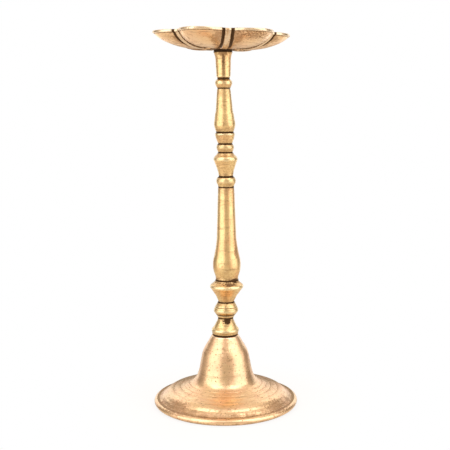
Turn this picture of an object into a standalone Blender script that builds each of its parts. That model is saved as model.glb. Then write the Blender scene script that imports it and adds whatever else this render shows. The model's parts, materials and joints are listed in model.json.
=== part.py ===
"""Turned brass votive lamp stand: a six-petal dish on a stack of turned sections over a bell foot.

The sections are sleeves on one threaded tie rod. The neck is the nut at the rod's top end and the
foot cone is the nut at its lower end. The rod's end below the foot cone screws into the bell foot,
and the dish's own stud screws into the neck. Heights are above the floor, in millimetres.
"""

import math

import bmesh
import bpy

MM = 0.001                  # metres in a millimetre
MERGE = 0.00001             # merge distance of the modifiers, in metres

# Thread and clearances
ROD_RADIUS = 3.175          # quarter-inch tie rod
THREAD_GAP = 0.325          # radial room between a stud and its bore
BORE_RADIUS = ROD_RADIUS + THREAD_GAP
ROD_CHAMFER = 0.5

# Seats of the two screw joints
BELL_TOP = 57.0             # seat of the lower washer, on the bell foot
FOOT_SEAT = 58.4            # underside of the foot cone
NECK_TOP = 285.0            # seat of the upper washer, on the neck
DISH_SEAT = 286.4           # underside of the dish
WASHER_THICKNESS = 0.8
LOWER_WASHER_RADIUS = 10.0
UPPER_WASHER_RADIUS = 7.3

# Tie rod and the dish's stud
ROD_BOTTOM = 45.0           # the rod's end, 12 mm down in the bell's boss
ROD_TOP = 270.0
NECK_LOWER_SOCKET_END = 270.4
NECK_UPPER_SOCKET_END = 275.0
STUD_BOTTOM = 275.5         # the dish's stud, 9.5 mm down in the neck

# Bell foot
BELL_CEILING = 43.5
BASE_OUTER_RADIUS = 58.8
BASE_FLAT_RADIUS = 56.5     # outside of the flat ring that the foot stands on
BASE_INNER_RADIUS = 54.3

# Dish
DISH_FLOOR = 289.0
PETALS = 6
RIB_AZIMUTH = math.radians(-84.5)   # first rib, from +X towards +Y
NOTCH_DEPTH = 0.245         # how far a notch is cut in, as a share of the radius
PETAL_START = 9.0           # radius inside which the dish is plain round
RIB_HALF_WIDTH = 2.5
RIB_HEIGHT = 0.9
GROOVE_DEPTH = 0.5

# Facets
SLEEVE_FACETS = 24
BELL_FACETS = 40
STEPS_PER_ARC = 3

# Turned outlines, top to bottom: (height, radius) or (height, radius, bow of the arc to the next
# point), where a bow is the arc's rise over its chord, positive outward.
NECK = [(NECK_TOP, 7.6, -0.06), (276.5, 6.0), (265.6, 5.5, -0.2), (263.4, 5.05), (262.9, 6.0, 0.16),
        (259.0, 6.3), (256.7, 5.15)]
UPPER_BALUSTER = [(256.4, 5.1, 0.1), (255.2, 5.35), (241.0, 6.6, -0.06), (237.0, 7.3),
                  (231.3, 8.05, 0.08), (225.9, 8.05), (222.1, 6.9)]
REEL_COLLAR = [(221.8, 7.2, 0.2), (219.4, 7.6), (217.0, 7.1), (213.0, 5.6)]
SMALL_BEAD = [(212.7, 6.0, 0.14), (208.8, 6.7), (206.2, 5.8)]
VASE_KNOP = [(205.9, 6.2, -0.05), (203.0, 8.4, 0.22), (198.6, 8.8), (194.6, 7.5, -0.04), (186.95, 5.7)]
RING_COLLAR = [(186.65, 6.3, 0.2), (180.9, 7.0, -0.08), (178.5, 6.4)]
LOWER_BALUSTER = [(178.2, 6.45), (172.0, 6.7), (137.5, 7.8, -0.02), (120.5, 10.7, 0.05),
                  (110.3, 10.7), (105.2, 9.0), (103.2, 9.3)]
FLARED_COLLAR = [(102.9, 9.35), (101.3, 9.9), (98.9, 12.9, 0.25), (95.9, 12.6), (91.0, 9.3),
                 (90.8, 8.9), (85.9, 6.6), (84.9, 6.5)]
FOOT_KNOP = [(84.6, 6.8), (82.8, 7.7, 0.04), (78.9, 9.6), (78.7, 9.75, 0.16), (75.8, 9.0), (74.4, 8.0)]
FOOT_RING = [(74.1, 7.3, 0.1), (71.8, 6.3)]
FOOT_CONE = [(71.5, 6.3), (69.6, 6.5), (68.9, 6.9), (65.0, 8.8, -0.05), (62.4, 10.8, 0.12),
             (60.2, 10.9), (59.9, 10.7), (FOOT_SEAT, 10.6)]
BELL_OUTSIDE = [(BELL_TOP, 10.95), (50.0, 14.8, 0.03), (44.5, 18.1, 0.09), (40.0, 19.15),
                (31.0, 20.9, -0.02), (24.2, 22.8, -0.14), (16.9, 30.2, -0.02), (14.1, 36.7, 0.03),
                (12.4, 42.3, 0.1), (8.4, 49.8, 0.04), (5.6, 53.2), (5.1, 54.2), (5.1, 56.4, 0.15),
                (2.9, BASE_OUTER_RADIUS, 0.14), (0.0, BASE_FLAT_RADIUS)]
BELL_INSIDE = [(0.0, BASE_INNER_RADIUS), (1.4, 53.0), (5.4, 48.5), (11.3, 36.0), (18.4, 23.5),
               (30.0, 18.0), (37.5, 16.0), (BELL_CEILING, 12.0)]
DISH_INSIDE = [(DISH_FLOOR, 0.0), (DISH_FLOOR, 22.0, -0.06), (294.4, 45.2, -0.05), (300.0, 52.3)]
DISH_OUTSIDE = [(300.0, 54.0), (298.5, 54.2), (297.6, 53.2, 0.05), (291.4, 43.1, 0.05),
                (287.0, 22.0), (DISH_SEAT, PETAL_START), (DISH_SEAT, ROD_RADIUS)]

# Colours: red, green, blue, roughness
BRASS = (0.72, 0.47, 0.18, 0.32)
ROSY_BRASS = (0.74, 0.45, 0.24, 0.36)
STEEL = (0.33, 0.31, 0.29, 0.45)
LEATHER = (0.05, 0.035, 0.022, 0.8)


def arc_points(start, end, bow):
    """Points after start, up to end, on the arc whose rise over its chord is bow, outward positive."""
    (z0, r0), (z1, r1) = start, end
    if bow == 0:
        return [end]
    chord = math.hypot(z1 - z0, r1 - r0)
    # the outward normal of a stretch that runs down
    nz, nr = (r1 - r0) / chord, (z0 - z1) / chord
    rise = bow * chord
    radius = (chord * chord / 4 + rise * rise) / (2 * abs(rise))
    half = math.asin(min(1.0, chord / (2 * radius)))
    points = []
    for i in range(1, STEPS_PER_ARC + 1):
        angle = half * (2 * i / STEPS_PER_ARC - 1)
        along = 0.5 + math.sin(angle) * radius / chord
        out = math.copysign((math.cos(angle) - math.cos(half)) * radius, rise)
        points.append((z0 + (z1 - z0) * along + nz * out, r0 + (r1 - r0) * along + nr * out))
    return points


def outline(knots):
    """All the points of a turned outline, with its bowed stretches as arcs."""
    points = [knots[0][:2]]
    for start, end in zip(knots[:-1], knots[1:]):
        bow = start[2] if len(start) > 2 else 0
        points += arc_points(start[:2], end[:2], bow)
    return points


def material(name, colour):
    """A plain metal or leather with the given colour and roughness."""
    made = bpy.data.materials.new(name)
    made.use_nodes = True
    shader = made.node_tree.nodes["Principled BSDF"]
    shader.inputs["Base Color"].default_value = (*colour[:3], 1)
    shader.inputs["Roughness"].default_value = colour[3]
    shader.inputs["Metallic"].default_value = 0 if colour is LEATHER else 1
    return made


def place(name, mesh, colour, seat, parent):
    """An object for a mesh whose heights are counted from its seat, with its own material."""
    mesh.name = name
    mesh.materials.clear()
    mesh.materials.append(material(name, colour))
    made = bpy.data.objects.new(name, mesh)
    made.location.z = (seat - parent_seat(parent)) * MM
    made.parent = parent
    stand.objects.link(made)
    return made


def parent_seat(parent):
    """The height of an axis empty above the floor, in millimetres."""
    return parent.location.z / MM + (parent_seat(parent.parent) if parent.parent else 0)


def turned_profile(points, seat, closed):
    """The mesh of a turned outline before it is spun, as a line of points at +X."""
    mesh = bpy.data.meshes.new("outline")
    count = len(points)
    edges = [(i, i + 1) for i in range(count - 1)] + ([(count - 1, 0)] if closed else [])
    mesh.from_pydata([(r * MM, 0, (z - seat) * MM) for z, r in points], edges, [])
    return mesh


def spin(piece, facets):
    """Spin an outline round its axis with a Screw modifier."""
    screw = piece.modifiers.new("turned", "SCREW")
    screw.steps = screw.render_steps = facets
    screw.use_merge_vertices = True
    screw.merge_threshold = MERGE
    screw.use_smooth_shade = True
    return piece


def turned(name, points, colour, seat, parent, facets=SLEEVE_FACETS, closed=True):
    """A turned piece. A closed outline is a ring or sleeve, an open one ends on the axis."""
    return spin(place(name, turned_profile(points, seat, closed), colour, seat, parent), facets)


def sleeve(name, knots, parent, colour=BRASS):
    """A turned section with a bore right through for the tie rod."""
    points = outline(knots)
    top, bottom = points[0][0], points[-1][0]
    return turned(name, points + [(bottom, BORE_RADIUS), (top, BORE_RADIUS)], colour, bottom, parent)


def washer(name, bottom, radius, parent):
    """A flat leather washer on a stud."""
    top = bottom + WASHER_THICKNESS
    points = [(top, radius), (bottom, radius), (bottom, BORE_RADIUS), (top, BORE_RADIUS)]
    return turned(name, points, LEATHER, bottom, parent)


def neck(parent):
    """The top section, with a blind threaded socket at each end and a solid web between them."""
    sockets_top = [(NECK_UPPER_SOCKET_END, 0), (NECK_UPPER_SOCKET_END, BORE_RADIUS), (NECK_TOP, BORE_RADIUS)]
    bottom = NECK[-1][0]
    socket_below = [(bottom, BORE_RADIUS), (NECK_LOWER_SOCKET_END, BORE_RADIUS), (NECK_LOWER_SOCKET_END, 0)]
    points = sockets_top + outline(NECK) + socket_below
    return turned("neck", points, BRASS, bottom, parent, closed=False)


def tie_rod(parent):
    """The threaded rod through the stem, as a cylinder at the thread's outer radius."""
    points = [
        (ROD_TOP, 0), (ROD_TOP, ROD_RADIUS - ROD_CHAMFER), (ROD_TOP - ROD_CHAMFER, ROD_RADIUS),
        (ROD_BOTTOM + ROD_CHAMFER, ROD_RADIUS), (ROD_BOTTOM, ROD_RADIUS - ROD_CHAMFER), (ROD_BOTTOM, 0),
    ]
    return turned("tie_rod", points, STEEL, ROD_BOTTOM, parent, closed=False)


def base_bell(parent):
    """The hollow cast foot: bell, low domed flange and rim, with a threaded hole through its top."""
    hole = [(BELL_CEILING, BORE_RADIUS), (BELL_TOP, BORE_RADIUS)]
    points = outline(BELL_OUTSIDE) + outline(BELL_INSIDE) + hole
    return turned("base_bell", points, ROSY_BRASS, 0.0, parent, facets=BELL_FACETS)


def column_offsets():
    """Half a petal's columns from a rib to a tip: first as distances from the rib's line in
    millimetres, then as angles in degrees."""
    beside = [0.0, RIB_HALF_WIDTH - 0.5, RIB_HALF_WIDTH + 0.3, RIB_HALF_WIDTH + 1.4, RIB_HALF_WIDTH + 2.6]
    across = [15.0, 22.5, 30.0]
    return beside, across


def petal_shape(column, per_petal, radius, outside):
    """Where a column of the round blank goes: its azimuth, its new radius and its rib's relief.

    The share of the petals grows from the plain centre to the rim. At the rim a notch lies at each
    rib and the radius swells to a pointed tip half way to the next one. On the outside a raised rib
    of even width with a groove at each side runs along the notch.
    """
    petal, step = divmod(column, per_petal)
    half = per_petal // 2
    mirrored = step > half
    step = per_petal - step if mirrored else step
    beside, across = column_offsets()
    share = min(1.0, max(0.0, (radius - PETAL_START) / PETAL_START))
    even = math.radians(360 / PETALS) * step / per_petal
    if step < len(beside):
        wanted = math.asin(min(0.9, beside[step] / max(radius, PETAL_START)))
    else:
        wanted = math.radians(across[step - len(beside)])
    angle = even + (wanted - even) * share
    to_tip = 1 - angle / math.radians(180 / PETALS)
    cut = NOTCH_DEPTH * (0.4 * to_tip + 0.6 * to_tip ** 2) * min(1.0, radius / 53.0)
    relief = [RIB_HEIGHT, RIB_HEIGHT, -GROOVE_DEPTH, -GROOVE_DEPTH, 0.0, 0.0, 0.0, 0.0][step]
    offset = relief * share if outside else 0.0
    new_radius = radius * (1 - cut * share)
    turn = math.radians(360 / PETALS) * petal + (math.radians(360 / PETALS) - angle if mirrored else angle)
    return RIB_AZIMUTH + turn, new_radius, offset


def petal_dish(parent):
    """The cast dish: a round turned blank whose wall is drawn into petals, with a stud below."""
    beside, across = column_offsets()
    per_petal = 2 * (len(beside) + len(across) - 1)
    facets = PETALS * per_petal
    stud = [
        (STUD_BOTTOM + ROD_CHAMFER, ROD_RADIUS), (STUD_BOTTOM, ROD_RADIUS - ROD_CHAMFER), (STUD_BOTTOM, 0),
    ]
    inside, outside = outline(DISH_INSIDE), outline(DISH_OUTSIDE)
    blank = bpy.data.objects.new("blank", turned_profile(inside + outside + stud, DISH_SEAT, False))
    stand.objects.link(spin(blank, facets))
    evaluated = blank.evaluated_get(bpy.context.evaluated_depsgraph_get())
    mesh = bpy.data.meshes.new_from_object(evaluated)
    bpy.data.objects.remove(blank)

    shaped = bmesh.new()
    shaped.from_mesh(mesh)
    for vert in shaped.verts:
        radius = math.hypot(vert.co.x, vert.co.y) / MM
        if radius < PETAL_START - 0.01:
            continue
        column = round(math.atan2(vert.co.y, vert.co.x) / (2 * math.pi) * facets) % facets
        height = vert.co.z / MM + DISH_SEAT
        on_outside = any(math.hypot(height - z, radius - r) < 0.02 for z, r in outside)
        azimuth, new_radius, relief = petal_shape(column, per_petal, radius, on_outside)
        # the relief stands out of the wall: sideways near the rim, downwards near the floor
        steep = min(1.0, max(0.0, (radius - 20.0) / 30.0))
        new_radius += relief * steep
        height -= relief * (1 - steep)
        vert.co = (new_radius * MM * math.cos(azimuth), new_radius * MM * math.sin(azimuth),
                   (height - DISH_SEAT) * MM)
    shaped.to_mesh(mesh)
    shaped.free()
    dish = place("petal_dish", mesh, ROSY_BRASS, DISH_SEAT, parent)
    mesh.shade_smooth()
    mesh.set_sharp_from_angle(angle=math.radians(35))
    return dish


def axis_empty(name, height, parent=None):
    """An empty on a screw joint's axis, at the joint's seat."""
    made = bpy.data.objects.new(name, None)
    made.parent = parent
    made.location.z = (height - (parent_seat(parent) if parent else 0)) * MM
    stand.objects.link(made)
    return made


for old in list(bpy.data.objects):
    bpy.data.objects.remove(old)
stand = bpy.data.collections.new("votive_lamp_stand")
bpy.context.scene.collection.children.link(stand)

floor_axis = axis_empty("floor_axis", 0.0)
stem_axis = axis_empty("stem_screw_axis", BELL_TOP, floor_axis)
dish_axis = axis_empty("dish_screw_axis", NECK_TOP, stem_axis)

base_bell(floor_axis)
washer("foot_washer", (BELL_TOP + FOOT_SEAT - WASHER_THICKNESS) / 2, LOWER_WASHER_RADIUS, stem_axis)
sleeve("foot_cone", FOOT_CONE, stem_axis)
sleeve("foot_ring", FOOT_RING, stem_axis)
sleeve("foot_knop", FOOT_KNOP, stem_axis)
sleeve("flared_collar", FLARED_COLLAR, stem_axis)
sleeve("lower_baluster", LOWER_BALUSTER, stem_axis)
sleeve("ring_collar", RING_COLLAR, stem_axis)
sleeve("vase_knop", VASE_KNOP, stem_axis)
sleeve("small_bead", SMALL_BEAD, stem_axis)
sleeve("reel_collar", REEL_COLLAR, stem_axis)
sleeve("upper_baluster", UPPER_BALUSTER, stem_axis)
neck(stem_axis)
tie_rod(stem_axis)
washer("dish_washer", (NECK_TOP + DISH_SEAT - WASHER_THICKNESS) / 2, UPPER_WASHER_RADIUS, dish_axis)
petal_dish(dish_axis)
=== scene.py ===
"""Brass votive lamp stand: the finished surfaces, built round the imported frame.

The stand is a cast petal dish, a stem of turned sections clamped on a tie rod, and a cast bell foot.
An outline is a list of knots, top to bottom. Each knot is a rise above the piece's own foot and a
radius, in millimetres, and may add a bow: how far the stretch to the next knot swells outward, as a
share of its length. Each piece is put in place by its node's box in the frame.
"""

import json
import logging
import math
from dataclasses import dataclass
from enum import Enum
from typing import Callable

import bpy
import numpy as np
from mathutils import Euler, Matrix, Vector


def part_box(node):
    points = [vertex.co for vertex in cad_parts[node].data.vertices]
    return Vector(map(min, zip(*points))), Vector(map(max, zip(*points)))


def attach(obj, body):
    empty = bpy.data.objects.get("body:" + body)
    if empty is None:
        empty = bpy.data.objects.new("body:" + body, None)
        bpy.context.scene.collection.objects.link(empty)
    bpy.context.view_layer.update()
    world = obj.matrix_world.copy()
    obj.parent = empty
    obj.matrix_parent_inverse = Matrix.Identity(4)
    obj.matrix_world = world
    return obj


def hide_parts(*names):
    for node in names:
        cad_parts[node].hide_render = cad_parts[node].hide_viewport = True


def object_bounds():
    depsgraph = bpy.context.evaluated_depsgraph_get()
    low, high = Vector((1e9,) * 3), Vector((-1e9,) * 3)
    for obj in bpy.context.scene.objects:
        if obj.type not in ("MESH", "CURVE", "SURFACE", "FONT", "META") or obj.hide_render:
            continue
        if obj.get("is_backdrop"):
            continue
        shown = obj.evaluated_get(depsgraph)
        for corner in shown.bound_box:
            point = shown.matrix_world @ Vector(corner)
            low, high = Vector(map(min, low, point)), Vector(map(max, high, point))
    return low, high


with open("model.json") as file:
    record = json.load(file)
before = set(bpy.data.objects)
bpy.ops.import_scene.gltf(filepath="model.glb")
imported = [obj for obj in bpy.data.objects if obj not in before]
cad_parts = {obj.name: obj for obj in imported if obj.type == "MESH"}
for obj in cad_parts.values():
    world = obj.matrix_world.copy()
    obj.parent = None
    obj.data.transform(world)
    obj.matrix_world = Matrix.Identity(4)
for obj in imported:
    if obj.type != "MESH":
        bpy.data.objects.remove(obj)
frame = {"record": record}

MM = 0.001
POLE_RADIUS = 1e-9
SHARP_ANGLE = math.radians(38)
Knots = tuple[tuple[float, ...], ...]
Colour = tuple[float, float, float]
Triple = tuple[float, float, float]
log = logging.getLogger("lamp_stand")


class Slot(Enum):
    """The material slots of the record."""

    CAST_BRASS = "cast_brass"
    TURNED_BRASS = "turned_brass"
    ROD_STEEL = "rod_steel"
    LEATHER = "washer_leather"


class Mark(Enum):
    """Values that a mesh carries at each point for its finish."""

    # The recess mark also paints shade on the dish: a line under the lip and a ring round the root of the
    # stud.
    RECESS = "recess"   # 1 in the bottom of a groove or seam
    WEAR = "wear"       # 1 on a proud edge
    # This mark is also painted shade: along the foot of the bell's rim and round the root of the dish's stud.
    GRIME = "grime_and_shade"     # 1 where old polish and smoke gather
    ALONG = "along"     # distance walked along the outline, in millimetres


# ---------------------------------------------------------------- outlines


SCORE_SPAN, SCORE_POINTS = 3.0, 15
SWELLS = ((1, 61.0), (2, 37.0), (3, 23.0), (5, 13.0))


@dataclass(frozen=True)
class Score:
    """A line cut round a piece: its place as a rise, or as a radius on a flat slope."""

    place: float
    width: float = 0.22
    depth: float = 0.2
    by_radius: bool = False


def stretch(start: tuple[float, ...], end: tuple[float, ...], step: float) -> np.ndarray:
    """Points after start, up to end, closer together near both knots.

    The share of the way is half of one minus a cosine. A bowed stretch is the arc whose middle
    stands off the chord by bow times the chord's length.

    Args:
        start: Rise, radius and perhaps bow of the first knot.
        end: The next knot.
        step: About how far apart the points are, in millimetres.

    Returns:
        An array of rises and radii.
    """
    first, last = np.array(start[:2]), np.array(end[:2])
    bow = start[2] if len(start) > 2 else 0.0
    chord = float(np.hypot(*(last - first)))
    count = max(3, math.ceil(chord / step))
    share = (1 - np.cos(np.pi * np.arange(1, count + 1) / count)) / 2
    if bow == 0:
        return first + share[:, None] * (last - first)
    outward = np.array([last[1] - first[1], first[0] - last[0]]) / chord
    rise = abs(bow) * chord
    radius = (chord * chord / 4 + rise * rise) / (2 * rise)
    half = math.asin(chord / (2 * radius))
    angle = half * (2 * share - 1)
    along = 0.5 + np.sin(angle) * radius / chord
    out = math.copysign(1, bow) * (np.cos(angle) - math.cos(half)) * radius
    return first + along[:, None] * (last - first) + out[:, None] * outward


def walk(knots: Knots, step: float) -> np.ndarray:
    """The whole outline through its knots, as rises and radii about step apart."""
    parts = [stretch(start, end, step) for start, end in zip(knots[:-1], knots[1:])]
    return np.vstack([np.array([knots[0][:2]]), *parts])


def walked(points: np.ndarray) -> np.ndarray:
    """Distance from the first point to each point of an outline."""
    return np.concatenate([[0.0], np.cumsum(np.hypot(*np.diff(points, axis=0).T))])


def ease(points: np.ndarray, reach: float) -> np.ndarray:
    """Rounds the corners of an outline and leaves its ends where they are.

    Each point becomes the mean of the outline round it, weighted by a bell curve over the distance
    walked. Past each end the outline goes on as its own half-turn copy.

    Args:
        points: Rises and radii.
        reach: Width of the bell curve, in millimetres.

    Returns:
        The eased rises and radii.
    """
    way = walked(points)
    along = np.concatenate([-way[:0:-1], way, 2 * way[-1] - way[-2::-1]])
    whole = np.vstack([2 * points[0] - points[:0:-1], points, 2 * points[-1] - points[-2::-1]])
    weight = np.exp(-0.5 * ((along[None, :] - way[:, None]) / reach) ** 2) * np.gradient(along)
    return weight @ whole / weight.sum(axis=1, keepdims=True)


def outward(points: np.ndarray) -> np.ndarray:
    """Unit normals of an outline that runs down its outer side: the way turned a quarter.

    Args:
        points: Rises and radii of the outline.

    Returns:
        One unit normal for each point.
    """
    way = np.gradient(points, axis=0)
    normal = np.stack([way[:, 1], -way[:, 0]], axis=1)
    return normal / np.maximum(np.hypot(*normal.T), 1e-9)[:, None]


def cut_scores(points: np.ndarray, scores: tuple[Score, ...]) -> np.ndarray:
    """Cuts lines into an outline: each pulls it in by its depth times a bell curve of its width.

    Args:
        points: Rises and radii.
        scores: The lines.

    Returns:
        The outline with extra points about each line.
    """
    for score in scores:
        way = walked(points)
        middle = way[np.argmin(np.abs(points[:, int(score.by_radius)] - score.place))]
        near = middle + np.linspace(-SCORE_SPAN, SCORE_SPAN, SCORE_POINTS) * score.width
        finer = np.unique(np.concatenate([way, near[(near > 0) & (near < way[-1])]]))
        points = np.stack([np.interp(finer, way, points[:, i]) for i in (0, 1)], axis=1)
        depth = score.depth * np.exp(-(((finer - middle) / score.width) ** 2))
        points = points - outward(points) * depth[:, None]
    return points


def proud(points: np.ndarray, reach: float) -> np.ndarray:
    """How far each point stands out of the outline as seen from reach away, in millimetres."""
    return ((points - ease(points, reach)) * outward(points)).sum(axis=1)


@dataclass(frozen=True)
class Feel:
    """What counts as a ridge of an outline, or with a minus sign as a hollow: none at start, all at full."""

    reach: float
    full: float
    start: float = 0.0

    def share(self, points: np.ndarray, rows: int) -> np.ndarray:
        """How much of a ridge or hollow each point is.

        Args:
            points: Rises and radii of the outer outline.
            rows: How many rows the whole surface has. Those past the outline get 0.

        Returns:
            A column of shares from 0 to 1.
        """
        share = np.clip((proud(points, self.reach) - self.start) / (self.full - self.start), 0, 1)
        return np.pad(share, (0, rows - len(points)))[:, None]


def smooth(value: np.ndarray, low: float, high: float) -> np.ndarray:
    """A smooth step from 0 at low to 1 at high."""
    share = np.clip((value - low) / (high - low), 0, 1)
    return share * share * (3 - 2 * share)


def swell(azimuth: np.ndarray, along: np.ndarray, seed: int) -> np.ndarray:
    """Slow swells left by hand work, about 1 at most.

    They are the mean of waves with one to five crests round the piece, each a cosine round it times
    a cosine along it, with its own phases.

    Args:
        azimuth: Angles round the axis.
        along: Distances along the outline, in millimetres.
        seed: Chooses the phases.

    Returns:
        The height of the swell at each angle and distance.
    """
    rng = np.random.default_rng(seed)
    total = np.zeros(np.broadcast(azimuth, along).shape)
    for crests, pitch in SWELLS:
        turn, slide = rng.uniform(0, 2 * math.pi, 2)
        total += np.cos(crests * azimuth + turn) * np.cos(2 * math.pi * along / pitch + slide)
    return total / len(SWELLS)


def seed_of(name: str) -> int:
    """A fixed number for a name."""
    return sum(name.encode())


# ---------------------------------------------------------------- surfaces


@dataclass
class Surface:
    """A grid of points, rows along an outline and columns round the axis, with its marks.

    A row whose points all lie on the axis is a pole. The last row may join the first.
    """

    points: np.ndarray
    marks: dict[Mark, np.ndarray]
    closed: bool = False

    def build(self, name: str) -> bpy.types.Object:
        """Makes the mesh: one quad for each cell of the grid and one triangle for each cell at a pole.

        Args:
            name: Name of the piece.

        Returns:
            The new object, at the origin.
        """
        rows, columns = self.points.shape[:2]
        index = np.arange(rows * columns).reshape(rows, columns)
        pole = np.ptp(self.points[:, :, :2], axis=1).max(axis=1) < POLE_RADIUS
        index[pole] = index[pole][:, :1]
        upper = index if self.closed else index[:-1]
        lower = np.roll(index, -1, axis=0) if self.closed else index[1:]
        next_lower, next_upper = np.roll(lower, -1, 1), np.roll(upper, -1, 1)
        cells = np.stack([upper, lower, next_lower, next_upper], axis=-1).reshape(-1, 4)
        top, bottom = cells[:, 0] == cells[:, 3], cells[:, 1] == cells[:, 2]
        used, compact = np.unique(cells, return_inverse=True)
        cells = compact.reshape(-1, 4)
        quads, upper_fan, lower_fan = cells[~top & ~bottom], cells[top][:, :3], cells[bottom][:, [0, 1, 3]]
        faces = quads.tolist() + upper_fan.tolist() + lower_fan.tolist()
        mesh = bpy.data.meshes.new(name)
        mesh.from_pydata(self.points.reshape(-1, 3)[used], [], faces)
        for mark, value in self.marks.items():
            spread = np.broadcast_to(value, (rows, columns)).reshape(-1)[used]
            made = mesh.attributes.new(mark.value, "FLOAT", "POINT")
            made.data.foreach_set("value", np.ascontiguousarray(spread, dtype=np.float32))
        mesh.shade_smooth()
        mesh.set_sharp_from_angle(angle=SHARP_ANGLE)
        piece = bpy.data.objects.new(name, mesh)
        bpy.context.scene.collection.objects.link(piece)
        return piece


def angles(count: int) -> np.ndarray:
    """Even angles round the axis, without the last, which is the first again."""
    return np.arange(count) * (2 * math.pi / count)


def turned(
        points: np.ndarray, foot: float, azimuth: np.ndarray, bulge: np.ndarray | float = 0.0) -> np.ndarray:
    """Carries an outline round the axis: x and y are the radius along the angle, z is the rise.

    Args:
        points: Rises and radii, in millimetres.
        foot: Height of the piece's foot, in metres.
        azimuth: The angles.
        bulge: Millimetres to add to the radius at each row and angle, nothing on the axis.

    Returns:
        Points by row and column, in metres.
    """
    radius = points[:, 1, None] + bulge * np.minimum(1, points[:, 1, None])
    return np.stack([
        radius * np.cos(azimuth) * MM,
        radius * np.sin(azimuth) * MM,
        np.broadcast_to(points[:, 0, None] * MM + foot, radius.shape),
    ], axis=-1)


def mount(piece: bpy.types.Object, node: str, finish: bpy.types.Material) -> bpy.types.Object:
    """Gives a piece its finish and lets it stand for a node and ride on that node's body.

    Args:
        piece: The finished piece, in place.
        node: The CAD node that it stands for.
        finish: Its material.

    Returns:
        The piece.
    """
    bodies = frame["record"]["behaviour"]["bodies"]
    body = next(name for name, nodes in bodies.items() if node in nodes)
    piece.data.materials.append(finish)
    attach(piece, body)
    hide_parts(node)
    log.info("%s stands for %s on body %s: %d faces", piece.name, node, body, len(piece.data.polygons))
    return piece


# ---------------------------------------------------------------- shader tools


class Tree:
    """Places and links the nodes of one shader tree."""

    def __init__(self, tree: bpy.types.NodeTree) -> None:
        """Starts on an empty tree."""
        self.tree = tree
        tree.nodes.clear()

    def node(self, kind: str, sockets: dict, **settings: object) -> bpy.types.Node:
        """A new node.

        Args:
            kind: The node's type.
            sockets: Input names or numbers, each with a value or an output to link.
            **settings: The node's own properties.

        Returns:
            The node.
        """
        made = self.tree.nodes.new(kind)
        for key, value in settings.items():
            setattr(made, key, value)
        for key, value in sockets.items():
            if isinstance(value, bpy.types.NodeSocket):
                self.tree.links.new(value, made.inputs[key])
            else:
                made.inputs[key].default_value = value
        return made

    def math(self, operation: str, *values: object) -> bpy.types.NodeSocket:
        """The result of a Math node."""
        return self.node("ShaderNodeMath", dict(enumerate(values)), operation=operation).outputs[0]

    def add(self, base: object, value: object, weight: float) -> bpy.types.NodeSocket:
        """The base plus weight times value."""
        return self.math("MULTIPLY_ADD", value, weight, base)

    def vector(self, operation: str, *values: object) -> bpy.types.NodeSocket:
        """The vector result of a Vector Math node."""
        return self.node("ShaderNodeVectorMath", dict(enumerate(values)), operation=operation).outputs[0]

    def length(self, value: object) -> bpy.types.NodeSocket:
        """The length of a vector."""
        return self.node("ShaderNodeVectorMath", {0: value}, operation="LENGTH").outputs["Value"]

    def step(self, value: object, low: float, high: float) -> bpy.types.NodeSocket:
        """A smooth step from 0 at low to 1 at high."""
        sockets = {"Value": value, "From Min": low, "From Max": high}
        return self.node("ShaderNodeMapRange", sockets, interpolation_type="SMOOTHSTEP").outputs["Result"]

    def noise(self, point: object, scale: float, detail: float = 3.0) -> bpy.types.NodeSocket:
        """Cloudy noise about 0.5."""
        sockets = {"Vector": point, "Scale": scale, "Detail": detail}
        return self.node("ShaderNodeTexNoise", sockets).outputs[0]

    def tint(self, share: object, first: object, second: Colour) -> bpy.types.NodeSocket:
        """A colour that goes from first to second as share goes from 0 to 1."""
        first = (*first, 1) if isinstance(first, tuple) else first
        return self.node("ShaderNodeMix", {0: share, 6: first, 7: (*second, 1)}, data_type="RGBA").outputs[2]

    def mark(self, mark: Mark) -> bpy.types.NodeSocket:
        """A value that the mesh carries."""
        return self.node("ShaderNodeAttribute", {}, attribute_name=mark.value).outputs["Fac"]

    def effect(self, build: Callable[[], bpy.types.NodeTree], sockets: dict) -> bpy.types.NodeOutputs:
        """A shared effect with its own values, built the first time only.

        Args:
            build: The function that builds the effect's group, under its own name.
            sockets: Its inputs, each with a value or an output to link.

        Returns:
            Its outputs.
        """
        group = bpy.data.node_groups.get(build.__name__) or build()
        return self.node("ShaderNodeGroup", sockets, node_tree=group).outputs

    def bump(self, height: object, distance: float) -> bpy.types.NodeSocket:
        """The normal of a surface whose height of 1 stands for a distance in millimetres."""
        return self.node("ShaderNodeBump", {"Distance": distance * MM, "Height": height}).outputs[0]

    def finish(self, sockets: dict) -> None:
        """Ends a material with a Principled shader."""
        shader = self.node("ShaderNodeBsdfPrincipled", sockets)
        self.node("ShaderNodeOutputMaterial", {"Surface": shader.outputs[0]})


def new_material(name: str) -> tuple[bpy.types.Material, Tree, bpy.types.NodeSocket]:
    """Starts a material.

    Args:
        name: The material's name.

    Returns:
        The material, its tree, and the place on the piece in millimetres.
    """
    made = bpy.data.materials.new(name)
    made.use_nodes = True
    tree = Tree(made.node_tree)
    place = tree.node("ShaderNodeTexCoord", {}).outputs["Object"]
    return made, tree, tree.vector("MULTIPLY", place, (1 / MM,) * 3)


FLOAT, VECTOR = "NodeSocketFloat", "NodeSocketVector"


def new_effect(
        name: str, takes: dict[str, str], gives: tuple[str, ...]) -> tuple[Tree, bpy.types.NodeOutputs]:
    """Starts the node group of a shared effect.

    Args:
        name: The effect's name.
        takes: Its inputs and their types.
        gives: Its outputs, all numbers.

    Returns:
        The group's tree and the sockets that give its inputs.
    """
    group = bpy.data.node_groups.new(name, "ShaderNodeTree")
    for socket, kind in takes.items():
        group.interface.new_socket(name=socket, in_out="INPUT", socket_type=kind)
    for socket in gives:
        group.interface.new_socket(name=socket, in_out="OUTPUT", socket_type=FLOAT)
    tree = Tree(group)
    return tree, tree.node("NodeGroupInput", {}).outputs


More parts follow.
